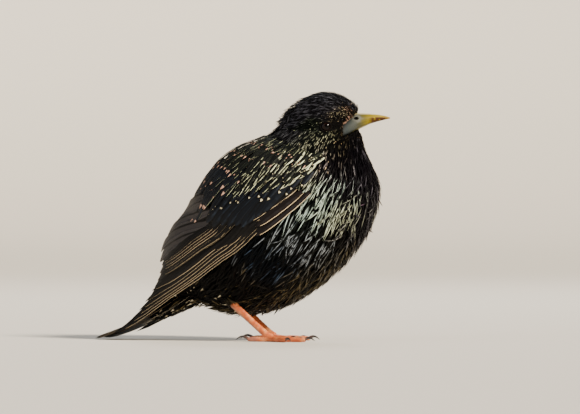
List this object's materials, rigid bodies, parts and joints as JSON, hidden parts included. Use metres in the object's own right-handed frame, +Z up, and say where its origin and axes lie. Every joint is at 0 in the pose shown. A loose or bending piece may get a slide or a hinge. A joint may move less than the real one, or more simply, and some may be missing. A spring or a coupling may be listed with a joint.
{
  "type": "starling",
  "caption": "Standing starling, head turned a little to its left, wings folded, tail laid at floor level; a still life-size model.",
  "frame": {"origin": "on the floor, under the middle of the whole bird's box", "axes": "+X the way the breast faces, +Y the bird's left, +Z up"},
  "size_m": [0.1538, 0.073, 0.124],
  "materials": {
    "plumage": "glossy black feathers with green, purple and bronze sheen, pale tips",
    "bill": "satin horn, yellow with a blue-grey base",
    "eye": "wet gloss, dark brown",
    "leg_skin": "satin scaly skin, orange pink",
    "claw": "semi-gloss dark grey horn"
  },
  "bodies": {
    "root": {"claw_hind_left": "claw", "claw_hind_right": "claw", "claw_inner_left": "claw", "claw_inner_right": "claw", "claw_middle_left": "claw", "claw_middle_right": "claw", "claw_outer_left": "claw", "claw_outer_right": "claw", "eye_left": "eye", "eye_right": "eye", "foot_left": "leg_skin", "foot_right": "leg_skin", "head": "plumage", "lower_bill": "bill", "neck": "plumage", "tail": "plumage", "tarsus_left": "leg_skin", "tarsus_right": "leg_skin", "thigh_left": "plumage", "thigh_right": "plumage", "torso": "plumage", "upper_bill": "bill", "wing_left": "plumage", "wing_right": "plumage"}
  },
  "joints": []
}
